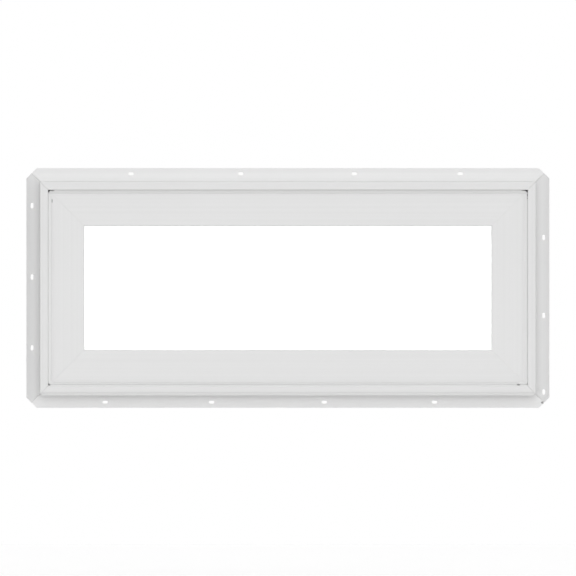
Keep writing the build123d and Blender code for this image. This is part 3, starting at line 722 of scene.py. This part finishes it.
def add_fasteners():
    """Screws of the keepers, lock cases and hinge tracks, and the crank's set screw."""
    keeper_head = pan_head(*KEEPER_HEAD, cross_bars)
    case_head = pan_head(*CASE_HEAD, cross_bars)
    hub_head = pan_head(*HUB_HEAD, hexagon_bar)
    for side, inward in (("left", 1), ("right", -1)):
        add_keeper_screws(keeper_head, side)
        add_lock_screw(case_head, side, inward)
        add_track_screws(case_head, side, inward)
    add_hub_screw(hub_head)


# Stage, light and camera
def show_white(tree):
    """One for rays that see the background: camera, glossy and transmission rays."""
    path = tree.nodes.new("ShaderNodeLightPath")
    seen = larger(tree, path.outputs["Is Camera Ray"], path.outputs["Is Glossy Ray"])
    return larger(tree, seen, path.outputs["Is Transmission Ray"])


def end_patches(tree, y):
    """The light all round, with a bright patch in front and a weaker one behind."""
    ahead = math_node(tree, "POWER", remap(tree, y, -1.0, 0.0, 1.0, 0.0), PATCH_FALL_OFF)
    behind = math_node(tree, "POWER", remap(tree, y, 0.0, 1.0, 0.0, 1.0), PATCH_FALL_OFF)
    front = remap(tree, ahead, 0.0, 1.0, SKY_ALL_ROUND, SKY_ALL_ROUND + SKY_FRONT)
    return add(tree, front, multiply(tree, behind, SKY_BACK))


def side_patches(tree, x):
    """A bright patch at each side, the right one brighter than the left."""
    aside = unsigned(tree, x)
    rise = remap(tree, aside, SIDE_STARTS, SIDE_IS_FULL, 0.0, SKY_SIDES)
    fade = remap(tree, aside, SIDE_FADES, SIDE_ENDS, 1.0, 0.0)
    balance = remap(tree, x, -1.0, 1.0, 1.0 - RIGHT_OVER_LEFT, 1.0 + RIGHT_OVER_LEFT)
    return multiply(tree, multiply(tree, rise, fade), balance)


def make_world():
    """White where it is seen; where it lights, soft, with patches in front, behind, above and aside."""
    world = bpy.data.worlds.new("studio")
    bpy.context.scene.world = world
    world.use_nodes = True
    tree = world.node_tree
    place = tree.nodes.new("ShaderNodeTexCoord")
    parts = tree.nodes.new("ShaderNodeSeparateXYZ")
    tree.links.new(place.outputs["Generated"], parts.inputs["Vector"])
    ends = end_patches(tree, parts.outputs["Y"])
    above = remap(tree, parts.outputs["Z"], ABOVE_STARTS, 1.0, 0.0, SKY_ABOVE)
    sky = add(tree, add(tree, ends, above), side_patches(tree, parts.outputs["X"]))
    background = tree.nodes["Background"]
    background.inputs["Color"].default_value = (1.0, 1.0, 1.0, 1.0)
    tree.links.new(larger(tree, sky, show_white(tree)), background.inputs["Strength"])


def make_floor():
    """A plain pale floor below the window, which keeps its shadow."""
    shape = bmesh.new()
    bmesh.ops.create_grid(shape, x_segments=FLOOR_STEPS, y_segments=FLOOR_STEPS, size=FLOOR_SIZE / 2)
    bmesh.ops.translate(shape, vec=(0, 0, SILL_LOW.z - FLOOR_DROP), verts=shape.verts)
    floor = to_object(shape, "studio_floor")
    material, tree, shader = new_finish("studio_floor")
    bright = (FLOOR_COLOUR,) * 3
    tone = mix_colours(tree, noise(tree, FLOOR_GRAIN), darkened(bright, FLOOR_DULLNESS), bright)
    tree.links.new(tone, shader.inputs["Base Color"])
    shader.inputs["Roughness"].default_value = FLOOR_ROUGHNESS
    shader.inputs["Specular IOR Level"].default_value = FLOOR_SPECULAR
    shader.inputs["Emission Color"].default_value = (1.0, 1.0, 1.0, 1.0)
    tree.links.new(multiply(tree, show_white(tree), FLOOR_LIFT), shader.inputs["Emission Strength"])
    floor.data.materials.append(material)


def make_lamp(name, strength, angle, comes_from):
    """A soft lamp that shines from a direction, as strong everywhere."""
    lamp = bpy.data.lights.new(name, "SUN")
    lamp.energy = strength
    lamp.angle = angle
    made = bpy.data.objects.new(name, lamp)
    made.rotation_euler = comes_from.to_track_quat("Z", "Y").to_euler()
    bpy.context.scene.collection.objects.link(made)


def make_camera():
    """Straight on, at the photo's scale and centre."""
    lens = bpy.data.cameras.new("camera")
    lens.lens = LENS
    lens.sensor_width = SENSOR
    distance = PHOTO_SPAN * LENS / SENSOR
    lens.clip_end = distance * 2
    camera = bpy.data.objects.new("camera", lens)
    camera.location = (PHOTO_X, -distance, PHOTO_Z)
    camera.rotation_euler = (math.radians(90), 0, 0)
    bpy.context.scene.collection.objects.link(camera)
    bpy.context.scene.camera = camera


make_camera()
dress_nodes()
add_fasteners()
make_world()
make_floor()
make_lamp("front_lamp", *FRONT_LAMP)
make_lamp("back_lamp", *BACK_LAMP)
bpy.context.scene.view_settings.view_transform = "Standard"
